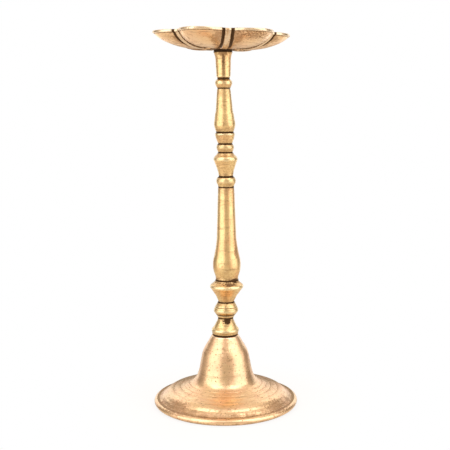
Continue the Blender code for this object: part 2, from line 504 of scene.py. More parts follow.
def lathe_marks() -> bpy.types.NodeTree:
    """Lines and streaks round a turned piece: noise that changes fast along the outline, slowly round it.

    Returns:
        The shader group.
    """
    tree, given = new_effect(
        "lathe_marks", {"Point": VECTOR, "Along": FLOAT, "Lines per mm": FLOAT, "Grime and shade": FLOAT},
        ("Height", "Line", "Streak"))
    flat = tree.vector("MULTIPLY", given["Point"], (1.0, 1.0, 0.0))
    round_it = tree.vector("MULTIPLY", tree.vector("NORMALIZE", flat), (0.9, 0.9, 0.0))
    lines = tree.math("MULTIPLY", given["Along"], given["Lines per mm"])
    place = tree.vector("ADD", round_it, tree.node("ShaderNodeCombineXYZ", {"Z": lines}).outputs[0])
    fine = tree.noise(place, 1.0, 3.0)
    coarse = tree.noise(tree.vector("MULTIPLY", place, (0.8, 0.8, 0.22)), 1.0, 2.0)
    drawn_out = tree.noise(tree.vector("MULTIPLY", place, (5.5, 5.5, 0.3)), 1.0, 5.0)
    tree.node("NodeGroupOutput", {
        "Height": tree.add(fine, coarse, 0.8),
        "Line": tree.step(coarse, 0.56, 0.7),
        "Streak": tree.step(tree.add(drawn_out, given["Grime and shade"], 0.2), 0.58, 0.74)})
    return tree.tree


def edge_wear() -> bpy.types.NodeTree:
    """Dark deposits in the recesses, with painted shade where the recess mark carries it, and bright metal on
    the proud edges, both with ragged borders.

    Returns:
        The shader group.
    """
    tree, given = new_effect(
        "edge_wear", {"Point": VECTOR, "Recess": FLOAT, "Wear": FLOAT, "Ragged": FLOAT}, ("Dirt and shade", "Bright"))
    noise = tree.math("SUBTRACT", tree.noise(given["Point"], 0.8, 4.0), 0.5)
    shift = tree.math("MULTIPLY", noise, given["Ragged"])
    tree.node("NodeGroupOutput", {
        "Dirt and shade": tree.step(tree.math("ADD", given["Recess"], shift), 0.3, 0.72),
        "Bright": tree.step(tree.math("SUBTRACT", given["Wear"], shift), 0.25, 0.9)})
    return tree.tree


def tarnish_clouds() -> bpy.types.NodeTree:
    """Broad clouds of tarnish with small flecks and stains that gather where old polish and smoke gather, and
    also where that input paints shade.

    Returns:
        The shader group.
    """
    tree, given = new_effect("tarnish_clouds", {"Point": VECTOR, "Grime and shade": FLOAT}, ("Cloud", "Fleck", "Stain"))
    point, grime_and_shade = given["Point"], given["Grime and shade"]
    tree.node("NodeGroupOutput", {
        "Cloud": tree.step(tree.noise(point, 0.09, 4.0), 0.36, 0.66),
        "Fleck": tree.step(tree.add(tree.noise(point, 0.75, 5.0), grime_and_shade, 0.154), 0.58, 0.68),
        "Stain": tree.step(tree.add(tree.noise(point, 0.21, 5.0), grime_and_shade, 0.22), 0.58, 0.8)})
    return tree.tree


def cast_pits() -> bpy.types.NodeTree:
    """Small round pits: the middles of a share of the cells of a scattered pattern.

    Returns:
        The shader group.
    """
    tree, given = new_effect("cast_pits", {"Point": VECTOR, "Spacing": FLOAT, "Share": FLOAT}, ("Pit",))
    scale = tree.math("DIVIDE", 1.0, given["Spacing"])
    cells = tree.node("ShaderNodeTexVoronoi", {"Vector": given["Point"], "Scale": scale}).outputs
    chance = tree.node("ShaderNodeSeparateColor", {"Color": cells["Color"]}).outputs[0]
    kept = tree.math("LESS_THAN", chance, given["Share"])
    middle = tree.math("SUBTRACT", 1.0, tree.step(cells["Distance"], 0.1, 0.26))
    tree.node("NodeGroupOutput", {"Pit": tree.math("MULTIPLY", kept, middle)})
    return tree.tree


def stain_and_shade_spot() -> bpy.types.NodeTree:
    """One dark patch in its own place, used for stains and for painted shade: 1 inside an ellipsoid and 0
    outside, with a ragged border.

    Returns:
        The shader group.
    """
    tree, given = new_effect(
        "stain_and_shade_spot", {"Point": VECTOR, "Centre": VECTOR, "Reach": VECTOR, "Ragged": FLOAT}, ("Mask",))
    away = tree.vector("SUBTRACT", given["Point"], given["Centre"])
    share = tree.length(tree.vector("DIVIDE", away, given["Reach"]))
    noise = tree.math("SUBTRACT", tree.noise(given["Point"], 0.7, 4.0), 0.5)
    border = tree.math("ADD", share, tree.math("MULTIPLY", noise, given["Ragged"]))
    tree.node("NodeGroupOutput", {"Mask": tree.math("SUBTRACT", 1.0, tree.step(border, 0.6, 1.15))})
    return tree.tree


def hairlines() -> bpy.types.NodeTree:
    """Hairline scratches: the narrow middle band of long drawn-out noise, in two directions.

    Returns:
        The shader group.
    """
    tree, given = new_effect("hairlines", {"Point": VECTOR}, ("Line",))
    lines = []
    for turn, drawn in ((0.5, (0.06, 0.9, 0.5)), (-1.1, (0.8, 0.05, 0.6))):
        sockets = {"Vector": given["Point"], "Rotation": (turn, turn / 2, turn), "Scale": drawn}
        noise = tree.noise(tree.node("ShaderNodeMapping", sockets).outputs[0], 1.0, 1.0)
        away = tree.math("ABSOLUTE", tree.math("SUBTRACT", noise, 0.5))
        lines.append(tree.math("SUBTRACT", 1.0, tree.step(away, 0.004, 0.014)))
    tree.node("NodeGroupOutput", {"Line": tree.math("MAXIMUM", *lines)})
    return tree.tree


# ---------------------------------------------------------------- finishes


@dataclass(frozen=True)
class Spot:
    """A dark patch in its own place, used for stains and for painted shade: centre and reach in millimetres
    in the frame, and how dark it is.
    """

    centre: Triple
    reach: Triple
    darkness: float = 1.0
    ragged: float = 1.0


@dataclass(frozen=True)
class Brass:
    """Old brass: warm metal with tarnish clouds, brown deposits in its recesses and bright worn edges; some
    of the recess darkening and spots are painted shade.
    """

    metal: Colour
    rosy: Colour
    bright: Colour
    roughness: float = 0.3
    lines_per_mm: float = 2.2
    line_depth: float = 1.0
    line_tint: float = 0.4
    pit_share: float = 0.1
    pit_spacing: float = 1.6
    pit_darkness: float = 0.8
    stain: float = 0.6
    soft_stain: float = 0.75
    ragged: float = 0.9
    polish: float = 0.6
    scratch_tint: float = 0.35
    hammered: float = 5.0
    bump: float = 0.02
    brown: Colour = (0.3, 0.155, 0.075)
    dirt: Colour = (0.085, 0.042, 0.016)

    def material(self, name: str, spots: tuple[Spot, ...] = (), rosiness: float = 0.5) -> bpy.types.Material:
        """The finish of one piece.

        Args:
            name: Name of the material, which also chooses its clouds.
            spots: The piece's own stains and patches of painted shade.
            rosiness: How far the tarnish clouds turn the metal rosy.

        Returns:
            The material.
        """
        made, tree, point = new_material(name)
        cloudy = tree.vector("ADD", point, (7.1 * (seed_of(name) % 29), 3.0, 5.0))
        grime_and_shade = tree.mark(Mark.GRIME)
        lathe = tree.effect(lathe_marks, {
            "Point": point, "Along": tree.mark(Mark.ALONG), "Grime and shade": grime_and_shade,
            "Lines per mm": self.lines_per_mm})
        worn = tree.effect(edge_wear, {
            "Point": point, "Recess": tree.mark(Mark.RECESS), "Wear": tree.mark(Mark.WEAR),
            "Ragged": self.ragged})
        clouds = tree.effect(tarnish_clouds, {"Point": cloudy, "Grime and shade": grime_and_shade})
        pit = tree.effect(cast_pits, {
            "Point": point, "Spacing": self.pit_spacing, "Share": self.pit_share})["Pit"]
        scratch = tree.effect(hairlines, {"Point": cloudy})["Line"]

        soft = tree.math("MAXIMUM", clouds["Fleck"], lathe["Streak"])
        soft = tree.math("MULTIPLY", soft, self.soft_stain * self.stain)
        stain = tree.math("MAXIMUM", tree.math("MULTIPLY", clouds["Stain"], self.stain), soft)
        # Spots add stains and, on some pieces, painted shade: dark reflection bands down the stem and bell,
        # and shade beside the dish's front rib.
        for spot in spots:
            mask = tree.effect(stain_and_shade_spot, {
                "Point": point, "Centre": spot.centre, "Reach": spot.reach, "Ragged": spot.ragged})["Mask"]
            stain = tree.math("MAXIMUM", stain, tree.math("MULTIPLY", mask, spot.darkness))
        # The recess darkening is deposits in grooves and seams, and on the dish also painted shade under the
        # lip and round the stud's root.
        dirt = tree.math("MAXIMUM", worn["Dirt and shade"], tree.math("MULTIPLY", pit, self.pit_darkness))
        black = tree.math("MAXIMUM", dirt, tree.step(stain, 0.75, 1.0))

        tone = tree.tint(tree.math("MULTIPLY", clouds["Cloud"], rosiness), self.metal, self.rosy)
        lines = tree.math("MULTIPLY", lathe["Line"], self.line_tint * self.line_depth)
        tone = tree.tint(lines, tone, self.brown)
        tone = tree.tint(stain, tone, self.brown)
        tone = tree.tint(tree.math("MULTIPLY", worn["Bright"], self.polish), tone, self.bright)
        tone = tree.tint(tree.math("MULTIPLY", scratch, self.scratch_tint), tone, self.bright)
        tone = tree.tint(black, tone, self.dirt)

        rough, height = self.roughness, tree.math("MULTIPLY", lathe["Height"], 0.5 * self.line_depth)
        for value, weight in ((clouds["Cloud"], 0.06), (stain, 0.18), (worn["Bright"], -0.07), (black, 0.25)):
            rough = tree.add(rough, value, weight)
        for value, weight in ((tree.noise(cloudy, 0.35, 3.0), self.hammered), (pit, -5.0), (scratch, -0.3)):
            height = tree.add(height, value, weight)
        tree.finish({
            "Base Color": tone, "Roughness": rough, "Metallic": tree.add(1.0, black, -0.15),
            "Normal": tree.bump(height, self.bump)})
        return made


@dataclass(frozen=True)
class Steel:
    """Drawn rod steel, darkened by oil, with brown in the roots of its thread."""

    metal: Colour = (0.36, 0.34, 0.32)
    oil: Colour = (0.06, 0.042, 0.03)
    roughness: float = 0.38
    oily_roughness: float = 0.3
    ragged: float = 0.7

    def material(self, name: str) -> bpy.types.Material:
        """The finish of the rod.

        Args:
            name: The material's name.

        Returns:
            The material.
        """
        made, tree, point = new_material(name)
        worn = tree.effect(edge_wear, {
            "Point": point, "Recess": tree.mark(Mark.RECESS), "Wear": tree.mark(Mark.WEAR),
            "Ragged": self.ragged})
        cloud = tree.step(tree.noise(point, 0.6, 4.0), 0.45, 0.7)
        dark = tree.math("MAXIMUM", worn["Dirt and shade"], tree.math("MULTIPLY", cloud, 0.5))
        tree.finish({
            "Base Color": tree.tint(dark, self.metal, self.oil), "Metallic": 1.0,
            "Roughness": tree.add(self.roughness, dark, self.oily_roughness),
            "Normal": tree.bump(tree.noise(point, 2.0, 4.0), 0.02)})
        return made


@dataclass(frozen=True)
class Leather:
    """Thin near-black leather with a fine grain; its near-black colour is painted shade, filling the dark
    ring in the joint under the dish.
    """

    dark: Colour = (0.02, 0.01, 0.004)
    light: Colour = (0.075, 0.038, 0.015)
    roughness: float = 0.75
    sheen: float = 0.15
    grain_scale: float = 2.6
    grain_depth: float = 0.08

    def material(self, name: str) -> bpy.types.Material:
        """The finish of a washer.

        Args:
            name: The material's name.

        Returns:
            The material.
        """
        made, tree, point = new_material(name)
        cells = tree.node("ShaderNodeTexVoronoi", {"Vector": point, "Scale": self.grain_scale})
        grain = cells.outputs["Distance"]
        tree.finish({
            "Base Color": tree.tint(tree.noise(point, 0.5, 4.0), self.dark, self.light),
            "Roughness": tree.add(self.roughness, grain, -0.15), "Specular IOR Level": self.sheen,
            "Normal": tree.bump(grain, self.grain_depth)})
        return made


TURNED = Brass(
    metal=(0.81, 0.59, 0.29), rosy=(0.82, 0.51, 0.25), bright=(0.93, 0.79, 0.5),
    roughness=0.29, pit_share=0.05, stain=0.55)
CAST = Brass(
    metal=(0.86, 0.60, 0.355), rosy=(0.85, 0.53, 0.335), bright=(0.95, 0.80, 0.6),
    roughness=0.28, line_depth=0.7, pit_share=0.16, pit_spacing=2.1, stain=0.75)


# ---------------------------------------------------------------- stem


@dataclass(frozen=True)
class Bend:
    """How the stem is bent sideways at some of its joints: nothing at the two screw joints."""

    nodes: tuple[str, ...] = ("foot_cone", "lower_baluster", "vase_knop", "neck")
    sideways: tuple[float, ...] = (0.0, 1.75, 1.6, 0.35)

    def shift(self, height: np.ndarray) -> np.ndarray:
        """Sideways shift in metres at a height, straight between the feet of the bent joints.

        Args:
            height: Heights in metres, in any shape.

        Returns:
            A shift for each height.
        """
        feet = [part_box(node)[0].z for node in self.nodes]
        shifts = [sideways * MM for sideways in self.sideways]
        return np.interp(height, [*feet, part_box("neck")[1].z], [*shifts, 0.0])


@dataclass(frozen=True)
class Section:
    """One turned section of the stem, bored for the tie rod."""

    node: str
    knots: Knots
    scores: tuple[Score, ...] = ()
    rounding: float = 0.22
    seam_top: float = 0.9
    seam_foot: float = 0.9
    rosiness: float = 0.5
    spots: tuple[Spot, ...] = ()
    bore: float = 3.5
    edge: float = 0.14
    reach_down: float = 0.2
    out_of_round: float = 0.06
    seam_wander: float = 0.35
    hollow: Feel = Feel(1.0, -0.3)
    ridge: Feel = Feel(0.7, 0.12)
    halo: float = 4.0
    end_wear: float = 0.5
    columns: int = 120
    step: float = 0.5

    def outline(self) -> np.ndarray:
        """The outer outline, with its two corners broken, its mouldings eased and its lines cut.

        Returns:
            Rises and radii in millimetres, from the top down.
        """
        (top, top_radius), (foot, foot_radius) = self.knots[0][:2], self.knots[-1][:2]
        inner = self.knots[1:-1] if len(self.knots) > 2 else ()
        first = (top - self.edge, top_radius, *self.knots[0][2:])
        last = (foot + self.edge / 2, foot_radius)
        end = (foot - self.reach_down, foot_radius - self.edge)
        knots = ((top, top_radius - self.edge), first, *inner, last, end)
        return cut_scores(ease(walk(knots, self.step), self.rounding), self.scores)

    def surface(self, foot: float, bend: Bend) -> Surface:
        """The section as a closed sleeve.

        Args:
            foot: Height of its foot, in metres.
            bend: How the stem leans.

        Returns:
            The grid of its points with its marks.
        """
        outer = self.outline()
        top = self.knots[0][0]
        points = np.vstack([outer, self.bore_outline(top)])
        in_bore = np.arange(len(points))[:, None] >= len(outer)
        azimuth = angles(self.columns)
        rise, way = points[:, :1], walked(points)[:, None]
        seed = seed_of(self.node)
        bulge = np.where(in_bore, 0.0, self.out_of_round) * swell(azimuth, way, seed)
        grid = turned(points, foot, azimuth, bulge)
        grid[:, :, 0] += bend.shift(grid[:, :, 2])

        uneven = 1 + self.seam_wander * swell(azimuth, way, seed + 1)
        seam = np.maximum(
            np.exp(-((top - rise) / self.seam_top) ** 2 * uneven),
            np.exp(-(rise / self.seam_foot) ** 2 * uneven))
        to_end = np.minimum(top - rise, rise)
        hollow, ridge = (feel.share(outer, len(points)) for feel in (self.hollow, self.ridge))
        marks = {
            Mark.RECESS: np.where(in_bore, 1.0, np.maximum(seam, hollow)),
            Mark.WEAR: ridge * (1 - np.exp(-to_end / self.end_wear)),
            Mark.GRIME: np.exp(-to_end / self.halo),
            Mark.ALONG: way,
        }
        return Surface(grid, marks, closed=True)

    def bore_outline(self, top: float) -> np.ndarray:
        """The bore from foot to top, with broken edges.

        Args:
            top: The section's height in millimetres.

        Returns:
            Rises and radii in millimetres.
        """
        edge = self.edge / 2
        return np.array([
            (0.0, self.bore + edge), (edge, self.bore), (top - edge, self.bore), (top, self.bore + edge)])

    def build(self, bend: Bend) -> bpy.types.Object:
        """The finished section in its place.

        Args:
            bend: The stem's bend.

        Returns:
            The piece's object.
        """
        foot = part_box(self.node)[0].z
        piece = self.surface(foot, bend).build(f"turned_{self.node}")
        finish = TURNED.material(f"turned_brass_{self.node}", self.spots, self.rosiness)
        return mount(piece, self.node, finish)


@dataclass(frozen=True)
class Neck(Section):
    """The top section: a nut with a blind threaded socket at each end."""

    upper_socket: float = 10.0
    lower_socket: float = 13.7

    def bore_outline(self, top: float) -> np.ndarray:
        """The two sockets, joined by the solid web between them, which both meet on the axis.

        Args:
            top: The section's height in millimetres.

        Returns:
            Rises and radii in millimetres.
        """
        edge = self.edge / 2
        return np.array([
            (0.0, self.bore + edge), (edge, self.bore),
            (self.lower_socket, self.bore), (self.lower_socket, 0.0),
            (top - self.upper_socket, 0.0), (top - self.upper_socket, self.bore),
            (top - edge, self.bore), (top, self.bore + edge)])


@dataclass(frozen=True)
class Stem:
    """The stack of turned sections, from the neck down to the foot cone."""

    sections: tuple[Section, ...]
    bend: Bend = Bend()

    def build(self) -> list[bpy.types.Object]:
        """All the sections, top to bottom.

        Returns:
            The sections' objects.
        """
        return [section.build(self.bend) for section in self.sections]


STEM = Stem((
    Neck(
        "neck", ((28.3, 7.6, -0.06), (19.8, 6.0), (8.9, 5.5, -0.2), (6.7, 5.05), (6.2, 6.0, 0.16),
                 (2.3, 6.3), (0.0, 5.15)),
        seam_top=0.9, seam_foot=0.45, rosiness=0.8,
        spots=(
            Spot((0.4, -6.6, 283.4), (4.6, 4.0, 2.4), 0.8, 1.8),
            # Painted shade: this streak and the one at 270 mm darken the front of the neck for the dark band
            # it reflects down its middle.
            Spot((0.2, -6.4, 279.0), (1.4, 3.0, 7.0), 0.85, 1.6),
            Spot((-3.6, -5.0, 279.6), (2.2, 3.0, 0.9), 0.55, 1.5),
            Spot((0.3, -5.6, 270.0), (1.2, 3.0, 12.0), 0.75, 1.3),
            Spot((0.6, -5.0, 264.6), (2.6, 3.0, 1.5), 0.65, 1.5),
            Spot((1.6, -6.2, 259.6), (1.0, 2.0, 1.2), 0.4, 1.5),
        )),
    Section(
        "upper_baluster", (
            (34.3, 5.1, 0.1), (33.1, 5.35), (18.9, 6.6, -0.06), (14.9, 7.3), (9.2, 8.05, 0.08), (3.8, 8.05),
            (0.0, 6.9)),
        scores=(Score(9.6, 0.18, 0.1), Score(19.2, 0.15, 0.05), Score(15.0, 0.15, 0.04)),
        rounding=0.8, seam_top=0.4, seam_foot=0.75, rosiness=0.25,
        spots=(
            Spot((0.2, -8.0, 228.4), (0.8, 3.0, 2.6), 0.6, 1.3),
            # Painted shade: a faint streak for the dark band reflected down the middle.
            Spot((-0.5, -5.6, 251.0), (0.7, 2.0, 8.0), 0.22, 1.4),
        )),
    Section(
        "reel_collar", ((8.8, 7.2, 0.2), (6.4, 7.6), (4.0, 7.1), (0.0, 5.6)),
        seam_top=0.7, seam_foot=0.65, rosiness=0.9,
        spots=(
            Spot((-4.5, -5.0, 217.5), (1.4, 2.0, 1.6), 0.35, 1.6),
            Spot((2.4, -7.0, 216.2), (1.6, 2.0, 1.2), 0.4, 1.6),
        )),
    Section(
        "small_bead", ((6.5, 6.0, 0.14), (2.6, 6.7), (0.0, 5.8)),
        seam_top=0.65, seam_foot=0.5, rosiness=0.3,
        spots=(Spot((0.2, -6.5, 208.6), (1.2, 2.0, 2.4), 0.4, 1.4),)),
    Section(
        "vase_knop",
        ((18.95, 6.2, -0.05), (16.05, 8.4, 0.22), (11.65, 8.8), (7.65, 7.5, -0.04), (0.0, 5.7)),
        scores=(Score(8.95, 0.18, 0.08),), seam_top=0.55, seam_foot=0.8, rosiness=0.5,
        spots=(
            Spot((0.8, -6.0, 188.4), (2.2, 3.0, 1.6), 0.6, 1.4),
            Spot((0.6, -7.0, 204.6), (1.8, 3.0, 1.3), 0.55, 1.5),
            Spot((-5.0, -5.0, 191.5), (1.0, 2.0, 3.5), 0.3, 1.5),
        )),
    Section(
        "ring_collar", ((8.15, 6.3, 0.2), (2.4, 7.0, -0.08), (0.0, 6.4)), seam_top=0.85, seam_foot=0.4,
        rosiness=0.2),
    Section(
        "lower_baluster", (
            (75.0, 6.45), (68.8, 6.7), (34.3, 7.8, -0.02), (17.3, 10.7, 0.05), (7.1, 10.7), (2.0, 9.0),
            (0.0, 9.3)),
        scores=(
            Score(64.4, 0.2, 0.04), Score(52.9, 0.2, 0.05), Score(45.4, 0.2, 0.04), Score(28.4, 0.2, 0.04)),
        rounding=0.7, seam_top=0.4, seam_foot=0.6, rosiness=1.0,
        spots=(
            Spot((1.4, -6.6, 174.0), (2.4, 3.0, 2.4), 0.45, 1.7),
            # Painted shade: these two streaks darken the front for the dark band reflected down the middle.
            Spot((0.8, -7.0, 161.0), (1.3, 3.0, 11.0), 0.3, 1.6),
            Spot((0.6, -7.6, 131.0), (1.5, 3.0, 9.0), 0.38, 1.6),
            # Painted shade: these two streaks darken the left and right sides for the dark bands reflected
            # there.
            Spot((8.4, -5.4, 124.5), (1.9, 2.4, 6.5), 0.75, 1.7),
            Spot((-8.8, -3.5, 117.0), (1.3, 3.0, 8.0), 0.5, 1.6),
            Spot((1.5, -10.2, 110.5), (2.6, 3.0, 3.0), 0.34, 1.8),
            Spot((7.0, -6.6, 104.0), (4.8, 5.0, 1.2), 0.93, 1.7),
        )),
    Section(
        "flared_collar", (
            (18.0, 9.35), (16.4, 9.9), (14.0, 12.9, 0.25), (11.0, 12.6), (6.1, 9.3), (5.9, 8.9), (1.0, 6.6),
            (0.0, 6.5)),
        scores=(Score(3.8, 0.18, 0.08), Score(2.6, 0.16, 0.07)),
        seam_top=0.75, seam_foot=0.45, rosiness=0.6,
        spots=(
            Spot((7.6, -6.6, 102.4), (3.6, 4.0, 1.5), 1.0, 1.2),
            Spot((4.0, -10.0, 100.4), (6.5, 4.0, 1.4), 0.88, 2.2),
            Spot((-5.5, -7.8, 101.8), (3.5, 3.0, 0.8), 0.6, 1.5),
            Spot((0.0, -8.3, 89.2), (2.4, 3.0, 2.0), 0.5, 1.6),
        )),
    Section(
        "foot_knop", ((10.2, 6.8), (8.4, 7.7, 0.04), (4.5, 9.6), (4.3, 9.75, 0.16), (1.4, 9.0), (0.0, 8.0)),
        scores=(Score(6.2, 0.28, 0.42),), seam_top=0.5, seam_foot=0.55, rosiness=0.15,
        spots=(
            Spot((0.4, -9.0, 81.4), (0.7, 3.0, 2.4), 0.75, 1.0),
            Spot((-6.4, -4.0, 83.4), (1.6, 3.0, 1.1), 0.85, 1.2),
        )),
    Section(
        "foot_ring", ((2.3, 7.3, 0.1), (0.0, 6.3)), seam_top=0.3, seam_foot=0.35, edge=0.12, rosiness=0.2),
    Section(
        "foot_cone", (
            (13.1, 6.3), (11.2, 6.5), (10.5, 6.9), (6.6, 8.8, -0.05), (4.0, 10.8, 0.12), (1.8, 10.9),
            (1.5, 10.7), (0.0, 10.6)),
        seam_top=0.6, seam_foot=0.25, rosiness=0.2,
        spots=(
            Spot((2.6, -6.2, 70.4), (4.2, 3.0, 1.5), 1.0, 0.9),
            Spot((1.9, -7.0, 69.3), (4.4, 3.0, 2.6), 1.0, 1.8),
            Spot((1.2, -8.0, 66.2), (2.6, 3.0, 1.0), 0.55, 1.6),
            Spot((-2.0, -9.0, 63.9), (5.5, 3.0, 0.8), 0.45, 1.7),
        )),
))


# ---------------------------------------------------------------- rod and washers


@dataclass(frozen=True)
class Thread:
    """A cut right-hand screw thread."""

    lead: float = 1.27
    outer: float = 3.175
    depth: float = 0.72
    chamfer: float = 0.6

    def radius(self, rise: np.ndarray, azimuth: np.ndarray) -> np.ndarray:
        """Radius of the threaded surface: a zigzag with flats whose phase is rise over lead less a turn.

        Args:
            rise: Heights, in millimetres.
            azimuth: Angles round the axis.

        Returns:
            The radius at each height and angle, in millimetres.
        """
        phase = np.mod(rise / self.lead - azimuth / (2 * math.pi), 1.0)
        zigzag = np.clip(1.3 * np.abs(2 * phase - 1) - 0.15, 0, 1)
        return self.outer - self.depth * zigzag


THREAD = Thread()


@dataclass(frozen=True)
class TieRod:
    """The rod through the stem, threaded at both ends."""

    node: str = "tie_rod"
    lower_thread: float = 30.0
    upper_thread: float = 16.0
    rows_per_turn: int = 10
    plain_rows: int = 60
    columns: int = 48

    def build(self, bend: Bend) -> bpy.types.Object:
        """The finished rod in its place: its radius is the thread's at each end and plain between.

        Args:
            bend: The stem's bend.

        Returns:
            The piece's object.
        """
        low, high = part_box(self.node)
        length = (high.z - low.z) / MM
        azimuth = angles(self.columns)
        pitch = THREAD.lead / self.rows_per_turn
        shoulder = length - self.upper_thread
        rises = np.concatenate([
            np.arange(length, shoulder, -pitch),
            np.linspace(shoulder, self.lower_thread, self.plain_rows)[1:],
            np.arange(self.lower_thread - pitch, 0, -pitch), [0.0]])
        to_end = np.minimum(rises, length - rises)[:, None]
        threaded = ((rises < self.lower_thread) | (rises > shoulder))[:, None]
        radius = np.where(threaded, THREAD.radius(rises[:, None], azimuth), THREAD.outer)
        radius = np.minimum(radius, THREAD.outer - THREAD.chamfer + to_end)
        recess = np.clip((THREAD.outer - radius) / THREAD.depth, 0, 1)

        closing = ((1, 1), (0, 0))
        radius = np.pad(radius, closing)
        rows = np.concatenate([rises[:1], rises, rises[-1:]])[:, None]
        height = np.broadcast_to(rows * MM + low.z, radius.shape)
        across = radius * np.cos(azimuth) * MM + bend.shift(height)
        grid = np.stack([across, radius * np.sin(azimuth) * MM, height], -1)
        marks = {
            Mark.RECESS: np.pad(recess, closing) * 0.8,
            Mark.WEAR: np.pad((recess < 0.1).astype(float), closing) * 0.5,
        }
        piece = Surface(grid, marks).build(f"threaded_{self.node}")
        return mount(piece, self.node, Steel().material("oiled_rod_steel"))


@dataclass(frozen=True)
class Washer:
    """A leather washer in a screw joint, swollen a little and cut a little out of round."""

    node: str
    swollen: float = 0.18
    edge: float = 0.1
    rim: float = 0.5
    clearance: float = 0.3
    out_of_round: float = 0.14
    columns: int = 96

    def build(self) -> bpy.types.Object:
        """The finished washer in its place.

        Returns:
            The piece's object.
        """
        low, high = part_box(self.node)
        thick, radius = (high.z - low.z) / MM + 2 * self.swollen, high.x / MM
        edge, bore = self.edge, THREAD.outer + self.clearance
        outer = ease(walk((
            (thick, radius - self.rim), (thick - edge, radius - edge, 0.2), (edge, radius - edge),
            (0.0, radius - self.rim)), 0.15), 0.05)
        inner = [(0.0, bore + edge), (edge, bore), (thick - edge, bore), (thick, bore + edge)]
        points = np.vstack([outer, inner])
        azimuth = angles(self.columns)
        bulge = (points[:, 1:] > radius - 2 * self.rim) * self.out_of_round
        bulge = bulge * swell(azimuth, 0.0, seed_of(self.node))
        grid = turned(points, low.z - self.swollen * MM, azimuth, bulge)
        piece = Surface(grid, {}, closed=True).build(f"leather_{self.node}")
        return mount(piece, self.node, Leather().material(f"shade_dark_leather_{self.node}"))


# ---------------------------------------------------------------- bell foot


@dataclass(frozen=True)
class BellFoot:
    """The hollow cast foot: a bell on a low domed flange with a stepped rim."""

    node: str = "base_bell"
    outside: Knots = (
        (57.0, 10.7), (56.75, 11.1), (50.0, 14.8, 0.03), (44.5, 18.1, 0.09), (40.0, 19.15, 0.02),
        (31.0, 20.9, -0.02), (24.2, 22.8, -0.14), (16.9, 30.2, -0.02), (14.1, 36.7, 0.03),
        (12.4, 42.3, 0.1), (8.4, 49.8, 0.04), (5.6, 53.2), (5.1, 54.2), (5.1, 56.4, 0.15),
        (2.9, 58.8, 0.14), (0.2, 56.7), (0.0, 56.4))
    inside: Knots = (
        (0.0, 54.5), (0.2, 54.3), (1.4, 53.0), (5.4, 48.5), (11.3, 36.0), (18.4, 23.5), (30.0, 18.0),
        (37.5, 16.0), (43.5, 12.0), (43.5, 3.9), (43.9, 3.5), (56.6, 3.5), (57.0, 3.9))
    scores: tuple[Score, ...] = (
        Score(29.8, 0.24, 0.12, True), Score(33.0, 0.2, 0.1, True), Score(36.8, 0.22, 0.12, True),
        Score(52.7, 0.25, 0.1, True), Score(47.5, 0.2, 0.05))
    rounding: float = 0.35
    fairing: float = 2.2
    columns: int = 216
    step: float = 0.75
    inside_step: float = 1.6
    hollow: Feel = Feel(1.3, -0.35, -0.1)
    ridge: Feel = Feel(0.9, 0.12)
    rim_radius: float = 55.0
    rim_wear: float = 0.35
    rim_grime: float = 1.5
    grime_radius: float = 53.0
    grime_width: float = 2.4
    spots: tuple[Spot, ...] = (
        # Painted shade: the first three spots darken the bell's sides for the dark bands reflected there,
        # more on the right.
        Spot((19.4, -13.2, 24.0), (3.2, 5.0, 12.0), 0.62, 1.5),
        Spot((17.2, -9.0, 43.0), (3.0, 5.0, 8.0), 0.5, 1.4),
        Spot((-19.6, -14.0, 21.0), (3.2, 5.0, 8.0), 0.4, 1.5),
        Spot((-39.0, -34.0, 7.0), (13.0, 12.0, 4.5), 0.72, 3.0),
        Spot((41.0, -33.0, 7.0), (13.0, 12.0, 4.5), 0.72, 3.0),
        Spot((-7.6, -15.9, 44.6), (0.55, 1.5, 0.5), 1.0, 0.1),
    )

    def build(self) -> bpy.types.Object:
        """The finished foot in its place.

        Returns:
            The piece's object.
        """
        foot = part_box(self.node)[0].z
        outer = walk(self.outside, self.step)
        fair = smooth(outer[:, :1], 9.0, 20.0) * smooth(56.5 - outer[:, :1], 0.0, 2.0)
        outer = ease(outer, self.rounding) * (1 - fair) + ease(outer, self.fairing) * fair
        outer = cut_scores(outer, self.scores)
        inner = ease(walk(self.inside, self.inside_step), self.rounding)
        points = np.vstack([outer, inner])
        azimuth = angles(self.columns)
        rise, radius, way = points[:, :1], points[:, 1:], walked(points)[:, None]
        outside = np.arange(len(points))[:, None] < len(outer)
        seed = seed_of(self.node)
        lumps = swell(azimuth, way, seed) + 0.6 * swell(3 * azimuth, 3 * way, seed + 5)
        quiet_ends = smooth(rise, 0.0, 1.5) * smooth(self.outside[0][0] - rise, 0.0, 3.0)
        bulge = np.where(outside, 0.1, 0.25) * quiet_ends * lumps

        hollow, ridge = (feel.share(outer, len(points)) for feel in (self.hollow, self.ridge))
        on_rim = radius > self.rim_radius
        band = np.exp(-(((radius - self.grime_radius) / self.grime_width) ** 2))
        ring = 1.3 * band * (0.75 + 0.9 * swell(azimuth, way * 0.3, seed + 9))
        # Painted shade: the rim turns dark within about 1.3 mm of its foot.
        ring = ring + self.rim_grime * on_rim * np.exp(-((rise / 1.3) ** 2))
        marks = {
            Mark.RECESS: np.where(outside, hollow * 0.8, 0.34),
            Mark.WEAR: ridge * np.where(on_rim, self.rim_wear, 1.0),
            Mark.GRIME: np.where(outside, ring, 1.4),
            Mark.ALONG: way,
        }
        grid = turned(points, foot, azimuth, bulge)
        piece = Surface(grid, marks, closed=True).build(f"cast_{self.node}")
        return mount(piece, self.node, CAST.material("cast_brass_foot", self.spots, 0.7))


# ---------------------------------------------------------------- petal dish


